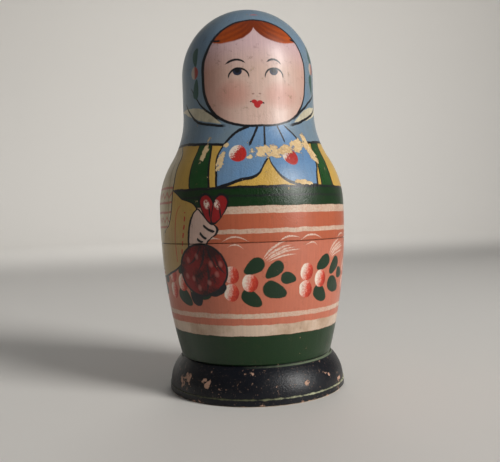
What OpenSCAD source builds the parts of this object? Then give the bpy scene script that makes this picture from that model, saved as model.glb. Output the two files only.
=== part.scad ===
// Nest of turned wooden dolls. Each hollow doll is a lower half with a spigot and an upper half with a
// socket, and it holds the next smaller doll. The last doll is one solid turning.
// The origin is the middle of the outer doll's base, +Z is up and the painted face looks along -Y.

/* [Outer doll] */
// Radius of the round head
head_r = 31.6; // [29:0.1:34]
// Straight stretch between the round of the head and the sweep of the neck
neck_h = 18.2; // [12:0.1:25]
// Radius of the hollow sweep from the neck to the shoulders
cove_r = 41; // [34:0.5:48]
// Radius of the rounded shoulders
shoulder_r = 41; // [36:0.5:43]
// Radius of the body at its widest
hip_r = 44.4; // [43:0.1:47]
// Upright stretch of the sides, from the belly to the shoulders
side_h = 5.4; // [2:0.1:12]
// Height of the belly, from the plinth to the upright sides
belly_h = 64.7; // [58:0.1:70]
// How far the belly draws in, from the upright sides to the plinth
foot_in = 8.5; // [6:0.1:11]

/* [Plinth] */
// Height of the turned plinth
plinth_h = 16.1; // [14:0.1:19]
// How far the outer doll's plinth spreads beyond the foot
plinth_spread = 6.2; // [3:0.1:8]
// How far the plinth of an inner doll spreads beyond its foot
inner_spread = 1.6; // [1:0.1:3]
// Height of the upright rim at the bottom of the plinth
rim_h = 3.2; // [2:0.1:5]
// Ledge by which the rim stands proud of the slope above it
rim_ledge = 0.4; // [0.2:0.05:0.8]
// Bevel round the edge that the doll stands on
base_bevel = 0.6; // [0.2:0.1:1.2]
// Depth of the turned groove between the body and the plinth
groove_d = 0.8; // [0.3:0.1:1.4]

/* [Nest] */
// Number of dolls, counting the solid one
doll_count = 10; // [3:1:10]
// Wall of a doll at the hips, as a share of its radius there
wall_share = 0.162; // [0.14:0.002:0.2]
// Room round each doll inside the next larger one
nest_gap = 0.5; // [0.3:0.05:0.8]
// Thickness of the outer doll's floor
floor_t = 12; // [9:0.5:14]
// Room over the head of the second doll
head_room = 8; // [5:0.5:10]

/* [Seam] */
// How far the seam lies below the upright sides
seam_drop = 10.7; // [6:0.1:15]
// Height of the outer doll's spigot
spigot_h = 10; // [7:0.5:13]
// Wall of the outer doll's spigot
spigot_t = 3.2; // [2.4:0.1:4]
// Radial room between a spigot and its socket
fit_gap = 0.06; // [0.03:0.01:0.1]
// Room over the tip of the outer doll's spigot
tip_room = 0.6; // [0.4:0.1:1.5]
// Bevel on the two outside edges that meet at the seam
seam_bevel = 0.35; // [0.2:0.05:0.6]
// Bevel that leads the spigot into the socket
lead_bevel = 0.8; // [0.4:0.1:1.4]

/* [Hidden] */
$fn = 144;
last = doll_count - 1;
foot_r = hip_r - foot_in;

// Colours of the scarves and skirts, taken in turn from the outer doll inwards
scarf_colours = ["#8a9aa6", "#b8483a", "#c9a24b"];
skirt_colours = ["#c9725c", "#55704f", "#6f8798"];

function lower_name(i) = str("doll_", i + 1, "_lower");

function upper_name(i) = str("doll_", i + 1, "_upper");

function solid_name() = str("doll_", doll_count, "_solid");

function in_turn(colours, i) = colours[i % len(colours)];

// Sizes are turned to a hundredth of a millimetre
function hundredth(size) = round(size * 100) / 100;

// Size of doll i as a share of the outer doll: it fills the hollow of the one before, less the gap
function share(i) =
    i == 0 ? 1 : share(i - 1) * (1 - wall_share) - nest_gap / hip_r;

// A size of the outer doll, as turned on doll i
function turned(size, i) = hundredth(size * share(i));

// Radius of an arc that starts upright and moves in by depth over a height
function arc_radius(height, depth) = hundredth((height ^ 2 + depth ^ 2) / (2 * depth));

// Height of the base of doll i: it stands on the floor of the one before
function base_z(i) = i == 0 ? 0 : base_z(i - 1) + turned(floor_t, i - 1);

// Heights on doll i, from its own base
function hip_z(i) = turned(plinth_h, i) + turned(belly_h, i);

function seam_z(i) = hip_z(i) - turned(seam_drop, i);

function spigot_z(i) = seam_z(i) + turned(spigot_h, i);

function shoulder_z(i) = hip_z(i) + turned(side_h, i);

function cove_z(i) = shoulder_z(i) + hundredth(neck_rise() * share(i) - 0.005);

function head_z(i) = cove_z(i) + turned(neck_h, i);

// Height over which the outer doll's shoulders and neck sweep in to the head
function neck_rise() = sqrt((shoulder_r + cove_r) ^ 2 - (head_r + cove_r - hip_r + shoulder_r) ^ 2);

// Radii on doll i
function plinth_spread_of(i) = turned(i == 0 ? plinth_spread : inner_spread, i);

function belly_r(i) = arc_radius(turned(belly_h, i), turned(hip_r, i) - turned(foot_r, i));

function hollow_r(i) = turned(hip_r, i + 1) + nest_gap;

function spigot_r(i) = hollow_r(i) + turned(spigot_t, i);

// Middle of the shoulder's round and of the neck's sweep
function shoulder_at(i) = [turned(hip_r, i) - turned(shoulder_r, i), shoulder_z(i)];

function cove_at(i) = [turned(head_r, i) + turned(cove_r, i), cove_z(i)];

// Half outline of doll i from its hips to its crown, grown outwards, with the head raised by lift
module bust_outline(i, grow, lift) {
    intersection() {
        union() {
            translate([0, head_z(i) + lift])
                circle(turned(head_r, i) + grow);
            square([turned(head_r, i) + grow, head_z(i) + lift]);
            difference() {
                polygon([shoulder_at(i), cove_at(i), [0, cove_z(i)], [0, shoulder_z(i)]]);
                translate(cove_at(i))
                    circle(turned(cove_r, i) - grow);
            }
            translate(shoulder_at(i))
                circle(turned(shoulder_r, i) + grow);
            translate([0, hip_z(i)])
                square([turned(hip_r, i) + grow, turned(side_h, i)]);
        }
        square(2 * head_z(i));
    }
}

// Half outline of doll i's belly, from the foot to the hips
module belly_outline(i, grow) {
    intersection() {
        translate([turned(hip_r, i) - belly_r(i), hip_z(i)])
            circle(belly_r(i) + grow);
        square([2 * turned(hip_r, i), shoulder_z(i)]);
    }
}

// Half outline of doll i's plinth: an upright rim with a rounded slope above it
module plinth_outline(i) {
    rim = turned(rim_h, i);
    top = turned(plinth_h, i);
    bevel = turned(base_bevel, i);
    rim_r = turned(foot_r, i) + plinth_spread_of(i);
    slope_in = plinth_spread_of(i) - turned(rim_ledge, i);
    slope_r = arc_radius(top - rim, slope_in);
    polygon([[0, 0], [rim_r - bevel, 0], [rim_r, bevel], [rim_r, rim], [0, rim]]);
    intersection() {
        translate([turned(foot_r, i) + slope_in - slope_r, rim])
            circle(slope_r);
        translate([0, rim / 2])
            square([rim_r, top - rim / 2]);
    }
}

// Half outline of the whole of doll i, standing in its place
module doll_outline(i) {
    translate([0, base_z(i)])
        difference() {
            union() {
                bust_outline(i, 0, 0);
                belly_outline(i, 0);
                plinth_outline(i);
            }
            translate([turned(foot_r, i), turned(plinth_h, i)])
                circle(turned(groove_d, i), $fn = 4);
        }
}

// Half outline of the hollow in doll i: the next doll with room all round and over its head
module hollow_outline(i) {
    next = i + 1;
    translate([0, base_z(next)]) {
        bust_outline(next, nest_gap, turned(head_room, i));
        belly_outline(next, nest_gap);
        square([turned(foot_r, next) + plinth_spread_of(next) + nest_gap, hip_z(next)]);
    }
}

// Corner cut from both halves where they meet on the outside
module seam_bevel_outline(i) {
    fall = belly_r(i) - sqrt(belly_r(i) ^ 2 - turned(seam_drop, i) ^ 2);
    translate([turned(hip_r, i), base_z(i) + seam_z(i)])
        circle(fall + turned(seam_bevel, i), $fn = 4);
}

// Lower half: plinth, belly and a spigot that stands up inside the upper half
module doll_lower(i) {
    bevel = turned(lead_bevel, i);
    color(in_turn(skirt_colours, i))
        rotate_extrude()
            difference() {
                union() {
                    intersection() {
                        doll_outline(i);
                        translate([0, base_z(i)])
                            square([2 * turned(hip_r, i), seam_z(i)]);
                    }
                    translate([0, base_z(i)])
                        polygon([
                            [0, turned(plinth_h, i)],
                            [hollow_r(i), seam_z(i) - turned(spigot_t, i)],
                            [spigot_r(i), seam_z(i)],
                            [spigot_r(i), spigot_z(i) - bevel],
                            [spigot_r(i) - bevel, spigot_z(i)],
                            [0, spigot_z(i)]
                        ]);
                }
                hollow_outline(i);
                translate([0, base_z(i + 1) + hip_z(i + 1)])
                    square([hollow_r(i), spigot_z(i)]);
                seam_bevel_outline(i);
            }
}

// Upper half: hips, shoulders and head, with a socket turned into its open end
module doll_upper(i) {
    color(in_turn(scarf_colours, i))
        rotate_extrude()
            difference() {
                intersection() {
                    doll_outline(i);
                    translate([0, base_z(i) + seam_z(i)])
                        square([2 * turned(hip_r, i), head_z(i)]);
                }
                hollow_outline(i);
                translate([0, base_z(i)])
                    square([spigot_r(i) + fit_gap, spigot_z(i) + turned(tip_room, i)]);
                seam_bevel_outline(i);
            }
}

// The smallest doll, turned in one piece
module doll_solid(i) {
    color(in_turn(scarf_colours, i))
        rotate_extrude()
            doll_outline(i);
}

for (i = [0 : last - 1]) {
    doll_lower(i);
    doll_upper(i);
}
doll_solid(last);
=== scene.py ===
import math

import bmesh
import bpy
from mathutils import Matrix, Vector


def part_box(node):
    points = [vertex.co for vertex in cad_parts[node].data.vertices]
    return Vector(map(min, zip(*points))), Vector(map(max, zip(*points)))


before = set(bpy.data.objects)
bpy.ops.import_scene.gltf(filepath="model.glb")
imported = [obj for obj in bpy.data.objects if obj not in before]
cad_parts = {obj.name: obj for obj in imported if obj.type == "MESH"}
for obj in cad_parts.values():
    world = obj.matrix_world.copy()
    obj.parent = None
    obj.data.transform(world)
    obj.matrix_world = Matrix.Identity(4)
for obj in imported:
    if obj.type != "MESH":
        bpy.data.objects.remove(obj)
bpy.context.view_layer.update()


# The outer doll: two hollow halves turned from lime wood, joined by a spigot at the seam.
# The outside is painted by hand in opaque colours over a cream ground, lined in black and varnished.
# The inside, the spigot and the seam's faces are bare wood.

class Wire:
    """One output of a material's nodes. Sums and products of wires add the Math nodes that work them out."""

    def __init__(self, tree, socket):
        self.tree = tree
        self.socket = socket

    def add(self, kind, settings, inputs, output=0):
        node = self.tree.nodes.new(kind)
        for name, value in settings.items():
            if name == "points":
                spots = node.mapping.curves[0].points
                spots[0].location = value[0]
                spots[1].location = value[-1]
                for spot in value[1:-1]:
                    spots.new(*spot)
                node.mapping.update()
            else:
                setattr(node, name, value)
        for key, value in inputs.items():
            if isinstance(value, Wire):
                self.tree.links.new(value.socket, node.inputs[key])
            else:
                node.inputs[key].default_value = value
        return Wire(self.tree, node.outputs[output])

    def math(self, operation, *others):
        return self.add("ShaderNodeMath", {"operation": operation}, dict(enumerate((self, *others))))

    def __add__(self, other):
        return self.math("ADD", other)

    __radd__ = __add__

    def __mul__(self, other):
        return self.math("MULTIPLY", other)

    __rmul__ = __mul__

    def __sub__(self, other):
        return self.math("SUBTRACT", other)

    def __rsub__(self, other):
        return self.add("ShaderNodeMath", {"operation": "SUBTRACT"}, {0: other, 1: self})

    def __truediv__(self, other):
        return self.math("DIVIDE", other)

    def __abs__(self):
        return self.math("ABSOLUTE")


def tint(code):
    """A paint's colour as light, from its code on a colour chart."""
    parts = [int(code[i:i + 2], 16) / 255 for i in (1, 3, 5)]
    return (*(p / 12.92 if p < 0.04045 else ((p + 0.055) / 1.055) ** 2.4 for p in parts), 1.0)


def held(value):
    """value kept from 0 to 1. A Clamp node of its own keeps the renderer working in the order drawn here."""
    return value.add("ShaderNodeClamp", {}, {0: value})


def inside(distance, edge=0.0, soft=0.12):
    """1 where distance is under edge and 0 beyond it."""
    return held(distance.math("MULTIPLY_ADD", -0.5 / soft, 0.5 * edge / soft + 0.5))


def between(value, low, high, soft=0.12):
    """1 where value lies from low to high."""
    return inside(abs(value - (low + high) / 2), (high - low) / 2, soft)


def ramped(value, low, high, start=0.0, end=1.0):
    """value carried from low..high to start..end, and held beyond both."""
    run = held(value.math("MULTIPLY_ADD", 1 / (high - low), -low / (high - low)))
    return run if (start, end) == (0.0, 1.0) else run.math("MULTIPLY_ADD", end - start, start)


def brushed(along, points):
    """Where a drawn curve lies, from a few points of place along and place across."""
    first, last = points[0][0], points[-1][0]
    low = min(across for _, across in points)
    high = max(across for _, across in points)
    spots = [((a - first) / (last - first), (b - low) / (high - low)) for a, b in points]
    run = ramped(along, first, last)
    return run.add("ShaderNodeFloatCurve", {"points": spots}, {1: run}).math("MULTIPLY_ADD", high - low, low)


def local(u, h, at, size, turn=0.0):
    """Places as seen from a mark at a place, of a size, turned by degrees: along it and across it."""
    c, s = math.cos(math.radians(turn)), math.sin(math.radians(turn))
    along = u.math("MULTIPLY_ADD", c / size[0], -(at[0] * c + at[1] * s) / size[0])
    across = h.math("MULTIPLY_ADD", c / size[1], (at[0] * s - at[1] * c) / size[1])
    if turn:
        along = h.math("MULTIPLY_ADD", s / size[0], along)
        across = u.math("MULTIPLY_ADD", -s / size[1], across)
    return along, across


def oval(u, h, at, size, turn=0.0, soft=0.12):
    """A round dab of the brush."""
    along, across = local(u, h, at, size, turn)
    return inside(along.math("MULTIPLY_ADD", along, across * across), 1.0, 2 * soft / min(size))


def leaf(u, h, at, size, turn, taper=0.45):
    """How far from the middle of a dab each place lies, with its edge at 1: it narrows towards one end."""
    along, across = local(u, h, at, size, turn)
    wide = across * along.math("MULTIPLY_ADD", taper, 1.0)
    return along.math("MULTIPLY_ADD", along, wide * wide).math("SQRT")


def stroke(u, h, start, end, bow, width, blunt=1.0, soft=0.12):
    """A brush stroke from start to end that bows to its left, pointed at both ends."""
    half = math.dist(start, end) / 2
    at = ((start[0] + end[0]) / 2, (start[1] + end[1]) / 2)
    turn = math.degrees(math.atan2(end[1] - start[1], end[0] - start[0]))
    along, across = local(u, h, at, (half, half), turn)
    rise = 1 - along * along
    off = abs(rise.math("MULTIPLY_ADD", -bow / half, across))
    reach = (rise * (blunt * width / 2 / half)).math("MINIMUM", width / 2 / half)
    return inside(off - reach, 0.0, soft / half)


def over(below, colour, mask):
    """colour laid on what is below, where mask says."""
    return mask.add("ShaderNodeMix", {"data_type": "RGBA"}, {0: mask, 6: below, 7: colour}, 2)


def shaded(colour, value):
    """colour made darker or lighter by a value near 1."""
    settings = {"data_type": "RGBA", "blend_type": "MULTIPLY"}
    return value.add("ShaderNodeMix", settings, {0: 1.0, 6: colour, 7: value}, 2)


def noise(place, scale, detail=3.0, roughness=0.55):
    """Mottling, of a scale in marks per millimetre."""
    inputs = {"Vector": place, "Scale": scale, "Detail": detail, "Roughness": roughness}
    return place.add("ShaderNodeTexNoise", {}, inputs)


def layer(draw, **feeds):
    """One stage of the painting, kept as a group that every doll shares."""
    group = bpy.data.node_groups.get(draw.__name__)
    if group is None:
        group = bpy.data.node_groups.new(draw.__name__, "ShaderNodeTree")
        for key, feed in feeds.items():
            coloured = isinstance(feed, tuple) or feed.socket.type == "RGBA"
            group.interface.new_socket(
                key, in_out="INPUT", socket_type="NodeSocketColor" if coloured else "NodeSocketFloat")
        group.interface.new_socket("paint", in_out="OUTPUT", socket_type="NodeSocketColor")
        taken = group.nodes.new("NodeGroupInput")
        drawn = draw(**{key: Wire(group, taken.outputs[key]) for key in feeds})
        given = group.nodes.new("NodeGroupOutput")
        group.links.new(drawn.socket, given.inputs[0])
    return feeds["u"].add("ShaderNodeGroup", {"node_tree": group}, feeds)


# Sizes are the outer doll's, in millimetres. u runs round its body from the middle of the front, and h up
# from its base.
BODY_R = 44.4
GIRTH = 2 * math.pi * BODY_R
PLINTH_H = 16.1
FOOT_BAND_H = 29.9
SEAM_H = 70.1
BELT_LOW, BELT_HIGH = 85.5, 93.5
SHOULDER_H = 115.6
SPRAYS = 8

INK = tint("#14151a")
WHITE = tint("#e0d2c2")
STRIPE = tint("#ccb7a3")
RED = tint("#b5322a")
SKIN = tint("#c9ab9e")
LEAF = tint("#0f2b15")


def bands_and_straps(u, h, grime, bristle, skirt_lit, skirt_low, band, blouse):
    """The rings of colour, laid with the doll turning on the lathe, and the straps over the blouse."""
    thin = ramped(grime, 0.36, 0.6, 0.98, 0.7) * bristle.math("MULTIPLY_ADD", 0.3, 0.7)
    paint = over(blouse, band, inside(h, BELT_HIGH))
    paint = over(paint, skirt_lit, inside(h, BELT_LOW))
    paint = over(paint, STRIPE, between(h, 82.3, BELT_LOW) * thin)
    paint = over(paint, STRIPE, between(h, 74.0, 75.9) * thin)
    paint = over(paint, skirt_low, inside(h, SEAM_H))
    paint = over(paint, STRIPE, between(h, 37.7, 39.8) * thin)
    stained = over(STRIPE, tint("#a08367"), ramped(grime, 0.47, 0.66) * 0.7)
    paint = over(paint, stained, between(h, FOOT_BAND_H, 34.7) * 0.94)
    paint = over(paint, band, inside(h, FOOT_BAND_H))
    paint = over(paint, tint("#0a0d15"), inside(h, PLINTH_H))
    blouse_low = BELT_HIGH - 0.2
    on_blouse = between(h, blouse_low, 116)
    straps = (
        ([(93, -33.2), (104, -35.5), (115, -35)], [(93, -23.6), (115, -27)]),
        ([(93, 30.4), (106, 32.4), (115, 36)], [(93, 39.6), (104, 40), (115, 45)]),
    )
    strap = shaded(band, ramped(grime, 0.36, 0.64, 1.7, 2.8))
    for near, far in straps:
        near, far = brushed(h, near), brushed(h, far)
        paint = over(paint, strap, inside(near - u) * inside(u - far) * on_blouse)
        paint = over(paint, INK, inside(abs(u - near), 0.4) * on_blouse)
        paint = over(paint, INK, inside(abs(u - far), 0.5) * on_blouse)
    behind = abs(u)
    side, strap_half = 88, 4.5
    cross = abs(h - brushed(behind, [(side, 88), (112, 104), (128, 116)]))
    there = inside(side - behind) * inside(blouse_low - h)
    paint = over(paint, strap, inside(cross, strap_half) * there)
    paint = over(paint, INK, inside(abs(cross - strap_half), 0.45) * there)
    paint = over(paint, INK, between(h, 93.0, 94.1))
    return over(paint, INK, between(h, 89.4, 90.3, 0.2) * ramped(grime, 0.3, 0.5, 1.0, 0.75))


def border_sprays(paint, u, h, bristle):
    """Eight like sprays of leaves and berries round the skirt, with pale feathered strokes over each."""
    left_end = -18.6
    across = u.math("WRAP", GIRTH / SPRAYS + left_end, left_end)
    feathers = (
        ((-0.9, 62.9), (9.3, 70.2), 1.5, 0.9), ((-0.4, 62.6), (11.8, 68.4), 1.5, 1.0),
        ((0.4, 62.4), (13.6, 67.4), 1.3, 0.8), ((0.6, 62.2), (15.8, 66.4), 1.3, 0.8),
        ((1.4, 61.9), (13.8, 64.4), 0.8, 0.7), ((left_end, 70.4), (-6.6, 70.8), 2.0, 0.7),
        ((-15.8, 68.3), (-9.2, 67.6), 1.4, 0.6), ((6.2, 70.2), (15.9, 71.8), 1.2, 0.7),
    )
    faint = bristle.math("MULTIPLY_ADD", 0.45, 0.3)
    for start, end, bow, width in feathers:
        paint = over(paint, WHITE, stroke(across, h, start, end, bow, width) * faint)
    leaves = (
        ((-4.9, 59.9), (5.0, 2.9), 30), ((3.9, 58.0), (4.9, 2.9), 38), ((10.8, 54.3), (3.7, 2.5), 165),
        ((4.3, 49.4), (5.8, 3.5), 160), ((-6.2, 46.3), (5.2, 3.2), 145),
    )
    for at, size, lean in leaves:
        paint = over(paint, LEAF, inside(leaf(across, h, at, size, lean + 180, 0.3), 1.0, 0.04))
    tip = 0.3
    for at in ((-15.0, 56.6), (-15.4, 49.0), (-6.8, 53.0)):
        slant = across - h * tip + bristle * 1.1
        middle = at[0] - at[1] * tip
        berry = over(WHITE, tint("#c8452e"), ramped(slant, middle - 2.0, middle + 1.6))
        berry = over(berry, tint("#9c2214"), ramped(slant, middle + 1.2, middle + 4.0))
        paint = over(paint, berry, oval(across, h, at, (3.5, 3.8)))
    return paint


def sleeves(paint, u, h, grime, blouse):
    """The linen sleeves at both sides, hanging over band and skirt, with red stitching."""
    linen = over(tint("#cbbb98"), tint("#ad9870"), ramped(grime, 0.4, 0.66))
    # The front of the left sleeve turns from the blouse's yellow to a darker ochre towards the cuff, partly
    # painted shade.
    lined = over(blouse, tint("#ad8f58"), ramped(h, 95, 72))
    elbow_h = 94.4
    front = brushed(h, [
        (54, -62), (61.2, -41), (68.4, -35.3), (75, -35), (80, -33.8), (84.6, -29.8), (90, -39),
        (elbow_h, -46.4)])
    fold = brushed(h, [
        (58, -62), (75, -55.4), (78.6, -49.8), (84.4, -47.3), (90, -46.2), (96, -46.2), (102, -47.1),
        (108, -47.8), (112.3, -50.7), (SHOULDER_H, -61)])
    behind = brushed(h, [(58, -97), (75, -97), (85, -93), (elbow_h, -86), (104, -79), (SHOULDER_H, -72)])
    cuff = h - brushed(u, [
        (-97, 62), (-88, 58), (-75, 55), (-62.6, 54.5), (-50, 57), (-41, 61.2), (-35.3, 68.4)])
    hanging = inside(-1 * cuff)
    paint = over(paint, lined, inside(u - front) * inside(fold - u) * inside(h, elbow_h) * hanging)
    left = inside(u - fold) * inside(behind - u) * inside(h, SHOULDER_H) * hanging
    near = brushed(h, [(56, 68), (75, 60), (90, 56), (104, 55), (SHOULDER_H, 62)])
    far = brushed(h, [(56, 104), (75, 104), (85, 101), (elbow_h, 95), (104, 87), (SHOULDER_H, 78)])
    other_cuff = h - brushed(u, [(60, 62), (72, 57), (84, 55.5), (96, 58), (106, 63)])
    other_hanging = inside(-1 * other_cuff)
    right = inside(near - u) * inside(u - far) * inside(h, SHOULDER_H) * other_hanging
    palm = leaf(u, h, (82, 51.5), (8.5, 5.6), 268, 0.3)
    hand = inside(palm, 1.0, 0.03) * inside(other_cuff)
    paint = over(paint, SKIN, hand)
    paint = over(paint, INK, inside(abs(palm - 1), 0.07, 0.03) * inside(other_cuff))
    for at in (79.6, 82.2, 84.8):
        paint = over(paint, INK, stroke(u, h, (at, 47.8), (at + 0.2, 43.2), 0.3, 0.8) * hand)
    arm = left.math("MAXIMUM", right)
    paint = over(paint, linen, arm)
    for low, high in ((88.6, 95.2), (77.6, 84.2)):
        zigzag = abs((u / 5.2).math("FRACT") - 0.5) * 5.0
        worked = inside(abs(h - low - 2.0 - zigzag), 0.55) * between(h, low, high)
        edging = inside(abs(abs(h - (low + high) / 2) - (high - low) / 2), 0.5)
        worked = worked.math("MAXIMUM", edging)
        paint = over(paint, RED, worked * arm * 0.7)
    for edge, hem in ((cuff, left), (other_cuff, right)):
        paint = over(paint, tint("#8d6f45"), inside(abs(edge - 3.4), 0.4) * hem)
        paint = over(paint, RED, inside(abs(edge - 1.7), 0.5) * hem * 0.8)
    for edge, lean in ((fold, -6.0), (near, 6.0)):
        crease = edge + ramped(h, 62, 112, 0.0, lean)
        drawn = inside(abs(u - crease), 0.4) * between(h, 62, 110, 2.0)
        paint = over(paint, tint("#8d7a55"), drawn * arm * 0.7)
    for edge, side in ((behind, hanging), (far, other_hanging), (near, other_hanging)):
        paint = over(paint, INK, inside(abs(u - edge), 0.45) * inside(h, SHOULDER_H) * side)
    paint = over(paint, INK, inside(abs(u - fold), 0.4) * between(h, 75, SHOULDER_H))
    paint = over(paint, INK, inside(abs(u - front), 0.55) * between(h, 69, elbow_h))
    paint = over(paint, INK, inside(abs(cuff), 0.5) * between(u, -97, -35.2))
    paint = over(paint, INK, inside(abs(other_cuff), 0.5) * between(u, 66, 104))
    stitch = brushed(h, [(62, -43.9), (74, -44.6), (87.2, -39.4)])
    paint = over(paint, RED, inside(abs(u - stitch), 0.35) * between(h, 62, 87) * 0.7)
    dash = brushed(h, [(63, -40.7), (84.1, -36.6)])
    gaps = inside(abs((h / 3.6).math("FRACT") - 0.5), 0.3, 0.05)
    return over(paint, RED, inside(abs(u - dash), 0.4) * between(h, 64, 84) * gaps)


def hand_and_bundle(paint, u, h, waver, bristle):
    """The hand at the seam, and the red kerchief that it holds, tied round a bundle."""
    palm = (
        brushed(h, [(69, -35.4), (75, -35), (80, -33.8), (85.2, -29.6)]),
        brushed(h, [(69, -26.4), (71.3, -24.8), (75.9, -20.3), (79, -23.3), (82.5, -26.8), (85.2, -29.4)]),
    )
    on_hand = between(h, 68.5, 85.2)
    paint = over(paint, SKIN, inside(palm[0] - u) * inside(u - palm[1]) * on_hand)
    for edge in palm:
        paint = over(paint, INK, inside(abs(u - edge), 0.55) * on_hand)
    fingers = (((-26.9, 78.2), (-21.4, 75)), ((-28.8, 75), (-25.4, 72.4)), ((-30.4, 72.5), (-27.2, 71)))
    for start, end in fingers:
        paint = over(paint, INK, stroke(u, h, start, end, -0.5, 1.1, 3))
    for at, lean in (((-24.3, 84.8), 107), ((-19.4, 84.5), 65)):
        reach = leaf(u, h, at, (6.6, 2.9), lean + 180, 0.35)
        paint = over(paint, tint("#8f1b1d"), inside(reach, 1.0, 0.03))
        shine = oval(u, h, (at[0] - 0.6, at[1] + 2.0), (1.2, 1.8), 20, 0.4)
        paint = over(paint, WHITE, shine * bristle * 0.9)
        slit = stroke(u, h, (at[0] + 0.3, at[1] + 1.2), (at[0] + 0.7, at[1] - 4), 0.3, 0.8)
        paint = over(paint, INK, slit)
        paint = over(paint, INK, inside(abs(reach - 1), 0.09, 0.03))
    for at, size, lean in (((-33.6, 47.4), (4.8, 3.6), 110), ((-22.6, 50.6), (5.2, 3.2), 15)):
        paint = over(paint, INK, oval(u, h, at, size, lean))
    reach = leaf(u, h, (-29.2, 58.8), (12.4, 11.2), 0, 0.0)
    cloth = over(tint("#7e1310"), tint("#2e0706"), ramped(waver + bristle * 0.08, 0.46, 0.64))
    paint = over(paint, cloth, inside(reach, 1.0, 0.02))
    paint = over(paint, INK, inside(abs(reach - 1), 0.04, 0.015))
    folds = (
        ((-27, 69.5), (-31.5, 58), 1.2), ((-25.2, 69.3), (-20.5, 58), -1.0), ((-29.5, 69), (-37, 61), 1.5),
        ((-26, 62), (-27.5, 48.5), 1.0), ((-22, 66), (-17.5, 57), -1.2),
    )
    for start, end, bow in folds:
        paint = over(paint, INK, stroke(u, h, start, end, bow, 1.2) * 0.8)
    dots = (
        (-36.5, 63), (-31.4, 64.6), (-38, 56), (-24.2, 61.4), (-21.6, 57), (-34, 55), (-19.6, 61.5),
        (-25.6, 53.4), (-31, 51),
    )
    for at in dots:
        paint = over(paint, tint("#bb7a70"), oval(u, h, at, (0.9, 1.2), 15, 0.45) * 0.5)
    return paint


def scarf_ends(paint, u, h, grime, bristle, scarf_dull, scarf_lit):
    """The scarf, to a point at the back, its two ends knotted under the chin over the blouse."""
    cloth = over(scarf_dull, scarf_lit, ramped(grime, 0.4, 0.65, 0.0, 0.3))
    knotted = over(scarf_dull, scarf_lit, ramped(grime, 0.36, 0.6, 0.6, 1.0))
    drape = h - brushed(abs(u), [
        (0, 112.5), (20, 112.8), (40, 114.2), (60, 115), (84, 113), (110, 104), (139.5, 91)])
    paint = over(paint, cloth, inside(-1 * drape))
    paint = over(paint, INK, inside(abs(drape), 0.6))
    ends = (
        brushed(h, [
            (93, -20.2), (99, -20.8), (103.5, -21.4), (107.2, -21.6), (110.9, -20.3), (113.5, -17.9),
            (116.7, -13.4), (120.6, -3)]),
        brushed(h, [
            (93, 27.6), (98.3, 28.5), (102.9, 30.6), (107.1, 31.1), (112.2, 27.8), (116.2, 23.4),
            (120.6, 18)]),
    )
    parted_at = (3.9, 106.2)
    hem = (
        brushed(u, [
            (-20.5, 93.4), (-17, 94.4), (-14.9, 94.9), (-9.8, 96.5), (-4.8, 97.4), (-1.4, 99), (1.7, 103.2),
            parted_at]),
        brushed(u, [
            parted_at, (5.2, 103), (7.4, 99.6), (10.8, 96.3), (14.7, 94.9), (20.6, 94.3), (28, 93.9)]),
    )
    above = h - hem[0].math("MINIMUM", hem[1])
    across = inside(ends[0] - u) * inside(u - ends[1]) * inside(h, 121)
    paint = over(paint, knotted, across * inside(-1 * above))
    paint = over(paint, INK, inside(abs(above), 0.7) * across)
    for edge in ends:
        paint = over(paint, INK, inside(abs(u - edge), 0.5) * between(h, 93.6, 113))
    lines = (
        ((-3.4, 120.6), (-20.6, 111.0), -2.2, 1.3), ((1.0, 121.0), (-5.2, 111.6), -0.3, 1.3),
        ((4.4, 121.0), (2.7, 110.6), 0.1, 1.1), ((12.0, 121.0), (15.2, 112.6), 0.2, 1.0),
        ((16.4, 121.0), (28.2, 111.4), 0.5, 1.0),
    )
    for start, end, bow, width in lines:
        paint = over(paint, INK, stroke(u, h, start, end, bow, width, 2.5))
    aside, down = 0.75, 0.65
    for at, size in (((-11.1, 108.3), (4.5, 3.7)), ((15.6, 106.4), (4.2, 3.6))):
        slant = u * aside - h * down - (at[0] * aside - at[1] * down) + bristle * 1.6
        blush = over(WHITE, tint("#ad2a24"), inside(-1 * slant, 0.5, 0.9))
        paint = over(paint, blush, oval(u, h, at, size, -10))
    folds = (
        (u * -1, [(24, 124), (27.1, 126), (35.5, 130.2), (44.1, 137), (47, 140)],
         [(20, 121.2), (24, 121.6), (39.2, 124.1), (50.3, 129.6), (56, 134)]),
        (u - 3, [(22, 124), (29.8, 128.1), (38.1, 132.1), (49.7, 137.4), (52, 139)],
         [(19, 121.2), (22.5, 121.6), (35.7, 125.3), (48.9, 129.6), (56, 134)]),
    )
    lining = over(tint("#d2c8ac"), tint("#a99f86"), ramped(grime, 0.42, 0.66))
    chin_end, back_end = (22, 122.4), (66, 131.8)
    for out, upper, lower in folds:
        top = brushed(out, [chin_end, (29.7, 127), (36, 129.8), (49, 131.4), back_end])
        foot = brushed(out, [chin_end, (33, 123.9), (45.5, 126.7), (56, 129.4), back_end])
        shown = inside(h - top) * inside(foot - h) * between(out, chin_end[0], back_end[0])
        paint = over(paint, lining, shown * 0.92)
        for line in (upper, lower):
            near, far = line[0][0], line[-1][0]
            paint = over(paint, INK, inside(abs(h - brushed(out, line)), 0.6) * between(out, near, far, 1.5))
    return paint


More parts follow.
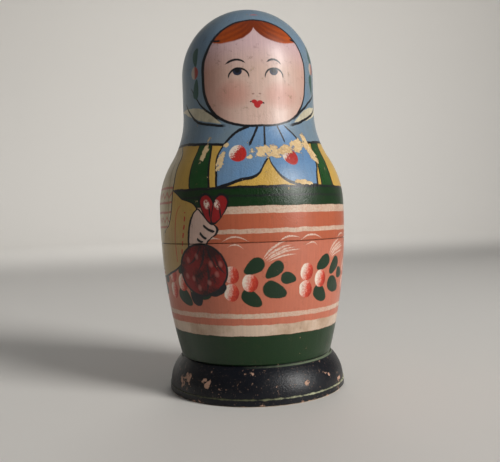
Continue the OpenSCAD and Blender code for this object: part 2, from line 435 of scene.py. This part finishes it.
def scarf_sprays(paint, u, h, bristle):
    """Leaves and berries on the scarf, at the temples and down the back."""
    green = tint("#31524a")
    for side, at in ((-1, (-43.2, 146.9)), (1, (49.2, 149.3))):
        upper = leaf(u, h, (at[0] + 0.4, at[1] + 7), (4.6, 2.6), 75 * side, 0.4)
        lower = leaf(u, h, (at[0] - side, at[1] - 7.4), (4.6, 2.6), -75 * side, 0.4)
        paint = over(paint, green, inside(upper, 1.0, 0.05))
        paint = over(paint, green, inside(lower, 1.0, 0.05))
        # The temple berries are a duller white and red than the berries elsewhere, partly painted shade.
        berry = over(tint("#b5a698"), tint("#9a443c"), inside(at[0] - u, 0.0, 1.0))
        paint = over(paint, berry, oval(u, h, at, (3.6, 2.8)))
    back = u.math("WRAP", GIRTH, 0.0) - GIRTH / 2
    leaves = (
        ((-10, 112.5), 150), ((10, 112.5), 30), ((-17, 108), 170), ((17, 108), 10), ((0, 117.5), 90),
        ((-7, 97.8), 250), ((7, 97.8), 290),
    )
    for at, lean in leaves:
        paint = over(paint, LEAF, inside(leaf(back, h, at, (5.0, 2.8), lean), 1.0, 0.04))
    for at in ((0, 110), (-9, 103.5), (9, 103.5)):
        blush = ramped(back + bristle * 1.6, at[0] - 0.8, at[0] + 3.2)
        paint = over(paint, over(WHITE, RED, blush), oval(back, h, at, (3.8, 3.8)))
    return paint


def face_and_hair(paint, u, h, front, flake, bristle):
    """The round face with parted hair, inside the black edge of the scarf. u runs straight across here."""
    middle, half_size = (0.7, 144.9), (23.3, 24.3)
    aside, up = local(u, h, middle, half_size)
    power = ramped(up, -0.35, 0.35, 2.7, 2.05)
    reach = (abs(aside).math("POWER", power) + abs(up).math("POWER", power)).math("POWER", 0.42)
    face = inside(reach, 1.0, 0.008) * front
    # Painted shade: the face turns darker and redder towards its sides, less on the right, where the light
    # falls.
    flesh = over(SKIN, tint("#b98d7f"), ramped(abs(u - 4), 12, 25))
    flesh = over(flesh, tint("#c4a6ac"), ramped(h, 146, 157) * 0.75)
    for at, strength in (((-9.4, 135.0), 0.4), ((11.4, 134.2), 0.42)):
        flesh = over(flesh, tint("#bc644e"), oval(u, h, at, (6.0, 5.0), 0, 2.6) * strength)
    smudge = ramped(flake, 0.56, 0.7) * between(h, 147, 159, 3.0)
    flesh = over(flesh, tint("#8a6a66"), smudge * 0.45)
    paint = over(paint, flesh, face)
    aside = abs(u - 0.3)
    parting = h - brushed(aside, [
        (0, 165), (2.2, 161.9), (5.8, 159.4), (9.6, 158.3), (14, 157.9), (18.3, 159), (22, 161.5)])
    strand = (parting * 2.3 + aside * 0.5 + bristle * 0.8).math("SINE")
    hair = over(tint("#722a06"), tint("#ab4a10"), ramped(aside + strand * 2.6, 3, 18))
    paint = over(paint, hair, inside(-1 * parting, 0.0, 0.3) * face)
    lines = (
        ((-13.1, 147.9), (-4.2, 148.1), 1.9, 0.95), ((4.9, 148.6), (11.9, 148.0), 1.6, 0.85),
        ((-18.8, 160.1), (-14.4, 159.3), -0.2, 0.9), ((16.9, 160.3), (19.7, 159.6), 0.2, 0.9),
        ((-2.8, 131.0), (-1.3, 131.3), 0.1, 0.6), ((2.3, 130.9), (3.7, 130.5), 0.1, 0.6),
    )
    for start, end, bow, width in lines:
        paint = over(paint, INK, stroke(u, h, start, end, bow, width, 2.0) * front)
    eyes = (((-7.3, 142.0), 4.4, (-7.9, 144.7)), ((8.5, 142.0), 4.15, (8.3, 144.6)))
    for at, wide, iris in eyes:
        paint = over(paint, tint("#262d40"), oval(u, h, iris, (1.95, 1.75)) * front)
        paint = over(paint, INK, oval(u, h, (iris[0], iris[1] + 0.4), (1.1, 1.1)) * front)
        along, across = local(u, h, at, (wide, 4.0))
        lid = abs(along.math("MULTIPLY_ADD", along, across * across).math("SQRT") - 1)
        thick = ramped(across, 0.0, 0.9, 0.05, 0.11)
        paint = over(paint, INK, inside(lid - thick, 0.0, 0.03) * inside(-1 * across) * front)
    for at in ((-1.3, 134.7), (1.7, 134.8)):
        paint = over(paint, tint("#6b4a44"), oval(u, h, at, (0.55, 0.34)) * front * 0.65)
    lips = (
        ((-0.75, 131.15), (1.3, 1.0), -12), ((1.65, 130.95), (1.3, 1.0), 8), ((0.5, 129.9), (1.5, 1.5), 0),
    )
    for at, size, lean in lips:
        paint = over(paint, tint("#ad2226"), oval(u, h, at, size, lean) * front)
    edge = abs(reach - 1.0) - ramped(u + h, 112, 165, 0.028, 0.013)
    paint = over(paint, INK, inside(edge, 0.0, 0.006) * front)
    scratch = stroke(u, h, (-0.6, 172), (3.4, 172.4), 0.4, 0.9)
    return over(paint, tint("#b0655f"), scratch * front * 0.7)


def wear_spots(u, h):
    """Where the paint of the chest and plinth is weak, and has flaked."""
    spots = (
        ((4.6, 108.8), (8.6, 3.4), -4), ((13, 109.6), (5, 2.2), 20), ((22, 111.6), (6.6, 3.2), 25),
        ((29.6, 113.2), (2.8, 5.2), 12), ((31.2, 108.2), (2.6, 5.0), 20), ((20, 95.3), (6.0, 1.1), -6),
        ((-29.9, 110.3), (1.9, 5.8), -12), ((-19.8, 104.9), (1.9, 4.4), -16),
        ((-17.8, 112.4), (1.6, 1.0), 30), ((-5.0, 106.6), (2.0, 1.1), 20),
        ((-45.1, 8.4), (5.2, 4.4), 20), ((-30.3, 8.6), (3.4, 2.4), -20),
        ((-22, 7.4), (3.0, 1.2), 0), ((-7.6, 13.1), (1.2, 0.9), 0), ((-7.6, 9.6), (0.8, 0.7), 0),
        ((20.1, 8.4), (2.4, 0.9), 20), ((35.1, 9.4), (2.2, 0.9), -25), ((44.5, 4.2), (6.0, 1.8), 20),
    )
    dabs = [oval(u, h, at, size, lean, min(size) * 0.35) for at, size, lean in spots]
    weak = dabs[0]
    for dab in dabs[1:]:
        weak = weak.math("MAXIMUM", dab)
    return weak


def doll_paint(name, base, share, worn, scarf, skirt, band, blouse):
    """The finish of one doll, drawn at the outer doll's size and fitted to a doll by its base and share."""
    material = bpy.data.materials.new(name)
    material.use_nodes = True
    tree = material.node_tree
    finish = tree.nodes["Principled BSDF"]
    place = Wire(tree, tree.nodes.new("ShaderNodeTexCoord").outputs["Object"])
    millimetres = 1000 / share
    fitted = {0: place, 1: (millimetres,) * 3, 2: (0, 0, -base / share)}
    solid = place.add("ShaderNodeVectorMath", {"operation": "MULTIPLY_ADD"}, fitted)
    parts = solid.add("ShaderNodeSeparateXYZ", {}, {0: solid}).socket.node.outputs
    x, y, z = (Wire(tree, parts[i]) for i in range(3))
    radius = (x * x + y * y).math("SQRT")
    turn = x.math("ARCTAN2", y * -1) * BODY_R

    # A hand that paints freely wavers a little, and on no two dolls alike
    elsewhere = ((1 - share) * 500, base, 0)
    chance = solid.add("ShaderNodeVectorMath", {"operation": "ADD"}, {0: solid, 1: elsewhere})
    waver = noise(chance, scale=0.11, detail=2.0)
    wander = noise(chance, scale=0.16, detail=2.0)
    ragged = noise(chance, scale=1.3) - 0.5
    u = turn + (waver - 0.5) * 1.3 + ragged * 0.35
    h = z + (wander - 0.5) * 1.1 - ragged * 0.35
    grain_at = u.add("ShaderNodeCombineXYZ", {}, {0: turn, 1: z * 0.05})
    grain = noise(grain_at, scale=0.9, detail=5.0, roughness=0.65)
    grime = noise(chance, scale=0.06, detail=6.0, roughness=0.62)
    bristle = ramped(ragged, -0.12, 0.05)
    front = inside(y, 0.0, 0.5)
    flake = noise(chance, scale=0.34, detail=6.0, roughness=0.72)

    paint = layer(
        bands_and_straps, u=u, h=h, grime=grime, bristle=bristle, skirt_lit=skirt[0], skirt_low=skirt[1],
        band=band, blouse=blouse)
    paint = layer(border_sprays, paint=paint, u=u, h=h, bristle=bristle)
    paint = layer(sleeves, paint=paint, u=u, h=h, grime=grime, blouse=blouse)
    paint = layer(hand_and_bundle, paint=paint, u=u, h=h, waver=waver, bristle=bristle)
    paint = layer(
        scarf_ends, paint=paint, u=u, h=h, grime=grime, bristle=bristle, scarf_dull=scarf[0],
        scarf_lit=scarf[1])
    paint = layer(scarf_sprays, paint=paint, u=u, h=h, bristle=bristle)
    straight = x + (waver - 0.5) * 0.5
    paint = layer(
        face_and_hair, paint=paint, u=straight, h=h, front=front, flake=flake, bristle=bristle)

    # Wear: flakes down to the cream ground over the chest, specks elsewhere, and knocks along the plinth
    weak = wear_spots(u, h)
    plinth = inside(h, PLINTH_H)
    knocked = inside(abs(z - 0.4), 0.3, 0.5) * 0.14 + plinth * 0.025
    loose = flake + (weak * (0.29 - plinth * 0.13) + knocked) * worn
    speckled = ramped(ragged, 0.15, 0.18) * ramped(flake, 0.46, 0.56) * plinth * worn
    breaking = 0.685
    chipped = ramped(loose, breaking, breaking + 0.02).math("MAXIMUM", speckled * 0.8)
    paint = over(paint, tint("#4a3420"), ramped(flake, 0.55, 0.68) * 0.15)
    paint = shaded(paint, ramped(grime * 0.6 + grain, 0.55, 1.0, 1.07, 0.9))
    # Darker round the edge of each flake.
    paint = over(paint, tint("#33261c"), ramped(loose, breaking - 0.03, breaking) * 0.55)
    ground = over(tint("#d9bf93"), tint("#c3a276"), bristle * ramped(grime, 0.4, 0.6))
    paint = over(paint, over(ground, tint("#b08c78"), plinth), chipped)
    # The worn olive line along the rim's top edge, painted paler and stronger towards the right as a painted
    # highlight where the light falls.
    rim_h = 3.1
    rubbed_and_lit = inside(abs(z - rim_h) - (flake - 0.5) * 1.8, 0.2, 0.2)
    olive = over(tint("#6d7050"), tint("#c3c4a4"), ramped(x + (grime - 0.5) * 80, -10, 35))
    paint = over(paint, olive, rubbed_and_lit * ramped(x + flake * 40, -10, 40, 0.4, 0.95))
    # A pale line along the plinth's top edge, on the right side only: partly wear, partly painted highlight.
    ridge_wear_and_highlight = inside(abs(z - (PLINTH_H - 0.5)), 0.2, 0.2) * ramped(x + flake * 30, 5, 35) * 0.6
    paint = over(paint, tint("#8b9a7c"), ridge_wear_and_highlight)
    soiled = inside(abs(z - SEAM_H), 0.2, 0.15) * ramped(flake, 0.4, 0.55, 0.9, 0.5)
    paint = over(paint, tint("#2a1c15"), soiled)

    # Bare wood inside the wall's middle, on the spigot and on the seam's faces
    wall = brushed(z, [
        (11, 0), (12.5, 33), (40, 37.2), (60, 40), (69.2, 42.4), (69.7, 43.6), (70.5, 43.6), (71, 42.4),
        (80.7, 42.4), (84, 41), (95, 39), (108, 33), (120, 30.2), (131, 29.2), (148, 29), (158, 25.6),
        (165, 19.5), (170, 8), (173, 0)])
    timber = inside(radius - wall, 0.0, 0.05).math("MAXIMUM", inside(z, 0.1, 0.05))
    rings_at = u.add("ShaderNodeCombineXYZ", {}, {0: turn * 0.35, 1: z * 0.1, 2: radius * 0.8})
    rings = noise(rings_at, scale=1.2, detail=4.0, roughness=0.6)
    wood = over(tint("#dcc193"), tint("#bd9560"), ramped(rings, 0.4, 0.68))
    paint = over(paint, wood, timber)

    # Varnish: glossy, crazed over the chest, thin on the plinth, and gone where wood or ground is bare
    tree.links.new(paint.socket, finish.inputs["Base Color"])
    dull = timber.math("MAXIMUM", chipped)
    crazed = oval(u, h, (10, 104), (26, 21), 0, 5.0) * worn
    rough = ramped(grain + grime, 0.8, 1.2, 0.3, 0.46) + dull * 0.25 - crazed * 0.05
    tree.links.new(rough.socket, finish.inputs["Roughness"])
    full_coat = 0.32
    varnish = full_coat - dull.math("MAXIMUM", plinth * 0.6) * full_coat
    tree.links.new(varnish.socket, finish.inputs["Coat Weight"])
    finish.inputs["Coat Roughness"].default_value = 0.3
    finish.inputs["IOR"].default_value = 1.45
    finish.inputs["Specular IOR Level"].default_value = 0.3
    relief = (1 - chipped) * 0.5 + grain * 0.16 + ragged * (plinth * 0.5 + crazed * 1.1 + 0.45)
    bump = relief.add("ShaderNodeBump", {}, {"Strength": 0.4, "Distance": 0.0004 * share, "Height": relief})
    tree.links.new(bump.socket, finish.inputs["Normal"])
    return material


def dress(names, paint):
    """Give the pieces of one doll its paint."""
    for name in names:
        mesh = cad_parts[name].data
        mesh.materials.clear()
        mesh.materials.append(paint)


BLUE_SCARF = (tint("#71838f"), tint("#6288b0"))
CORAL_SKIRT = (tint("#ae5a3d"), tint("#b96a52"))
GREEN = tint("#0c2d0e")
outer = doll_paint(
    "outer_doll_paint", base=0.0, share=1.0, worn=1.0, scarf=BLUE_SCARF, skirt=CORAL_SKIRT, band=GREEN,
    blouse=tint("#c29c4a"))
dress(("doll_1_lower", "doll_1_upper"), outer)


# The inner dolls: eight more of two hollow halves and a solid one, of the same wood, each turned to fill the
# hollow of the last. They carry the same figure, little worn, and their scarves and skirts take three pairs
# of colours in turn.

OUTER_H = 0.18
DOLLS = 10
SCARVES = (
    BLUE_SCARF,
    (tint("#8a2c24"), tint("#a83a2c")),
    (tint("#b0883a"), tint("#c89a45")),
)
SKIRTS = (
    CORAL_SKIRT,
    (tint("#4b6c4c"), tint("#577a5a")),
    (tint("#4e6a82"), tint("#5d7a92")),
)
BANDS = (GREEN, tint("#1f3049"), tint("#702620"))
BLOUSES = (tint("#c89a45"), tint("#cbbd9e"), tint("#bd8062"))
for number in range(2, DOLLS + 1):
    halves = ("solid",) if number == DOLLS else ("lower", "upper")
    names = [f"doll_{number}_{half}" for half in halves]
    low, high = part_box(names[0])[0].z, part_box(names[-1])[1].z
    pair = (number - 1) % len(SCARVES)
    dress(names, doll_paint(
        f"doll_{number}_paint", base=low * 1000, share=(high - low) / OUTER_H, worn=0.2, scarf=SCARVES[pair],
        skirt=SKIRTS[pair], band=BANDS[pair], blouse=BLOUSES[pair]))


# The stand: a plain pale floor that sweeps up all round. A tall soft light at the right lights the doll, and
# two behind it fill the sweep and the doll's back. The camera is where the photograph was taken.

FLOOR_R, WALL_H, SWEEP_R = 3.4, 2.8, 1.2
form = bmesh.new()
bmesh.ops.create_circle(form, cap_ends=True, segments=96, radius=FLOOR_R)
rim = list(form.edges)
risen = bmesh.ops.extrude_edge_only(form, edges=rim)["geom"]
wall_top = [part for part in risen if isinstance(part, bmesh.types.BMVert)]
bmesh.ops.translate(form, verts=wall_top, vec=(0, 0, WALL_H))
bmesh.ops.bevel(
    form, geom=rim, offset=SWEEP_R, offset_type="OFFSET", segments=16, profile=0.5, affect="EDGES",
    material=-1)
bmesh.ops.recalc_face_normals(form, faces=form.faces)
bmesh.ops.reverse_faces(form, faces=form.faces)
for face in form.faces:
    face.smooth = True
sweep_mesh = bpy.data.meshes.new("floor")
form.to_mesh(sweep_mesh)
form.free()
sweep = bpy.data.objects.new("floor", sweep_mesh)
bpy.context.collection.objects.link(sweep)
pale = bpy.data.materials.new("floor_pale")
pale.use_nodes = True
chalk = pale.node_tree.nodes["Principled BSDF"]
chalk.inputs["Base Color"].default_value = tint("#e4e1dc")
chalk.inputs["Roughness"].default_value = 0.8
sweep_mesh.materials.append(pale)

world = bpy.data.worlds.new("room")
bpy.context.scene.world = world
bpy.context.scene.view_settings.view_transform = "Standard"
world.use_nodes = True
daylight = world.node_tree.nodes["Background"]
daylight.inputs["Color"].default_value = (0.92, 0.95, 1.0, 1)
daylight.inputs["Strength"].default_value = 0.14


def window(name, at, aim, size, spread, power, mirrored=True):
    """A soft light of a size, turned from its place to aim at another, that spreads by degrees."""
    lamp = bpy.data.lights.new(name, "AREA")
    lamp.shape = "RECTANGLE"
    lamp.size, lamp.size_y = size
    lamp.spread = math.radians(spread)
    lamp.energy = power
    lamp.color = (1.0, 0.985, 0.96)
    holder = bpy.data.objects.new(name, lamp)
    facing = (Vector(at) - Vector(aim)).to_track_quat("Z", "Y").to_matrix().to_4x4()
    holder.matrix_world = Matrix.Translation(at) @ facing
    holder.visible_glossy = mirrored
    bpy.context.collection.objects.link(holder)


waist = (0, 0, 0.1)
window("window", (1.6, -1.35, 0.95), waist, (0.8, 1.6), spread=60, power=8.2)
window("wall_light", (0.4, 0.9, 1.7), (0, 3.2, 0.5), (1.6, 0.6), spread=130, power=22.0)
window("back_light", (0.5, 2.3, 1.5), waist, (1.4, 1.0), spread=60, power=1.4, mirrored=False)

camera = bpy.data.objects.new("camera", bpy.data.cameras.new("camera"))
camera.data.lens = 45.03
camera.data.sensor_width = 36.0
camera.data.clip_start = 0.01
far, high = 0.3058, 0.0802
side, yaw, roll = math.radians(-6.5), math.radians(0.22), math.radians(-1.9)
raised = math.radians(90 - 1.13)
standing = Matrix.Translation((math.sin(side) * far, -math.cos(side) * far, high))
looking = Matrix.Rotation(side + yaw, 4, "Z") @ Matrix.Rotation(raised, 4, "X")
camera.matrix_world = standing @ looking @ Matrix.Rotation(roll, 4, "Z")
bpy.context.collection.objects.link(camera)
bpy.context.scene.camera = camera
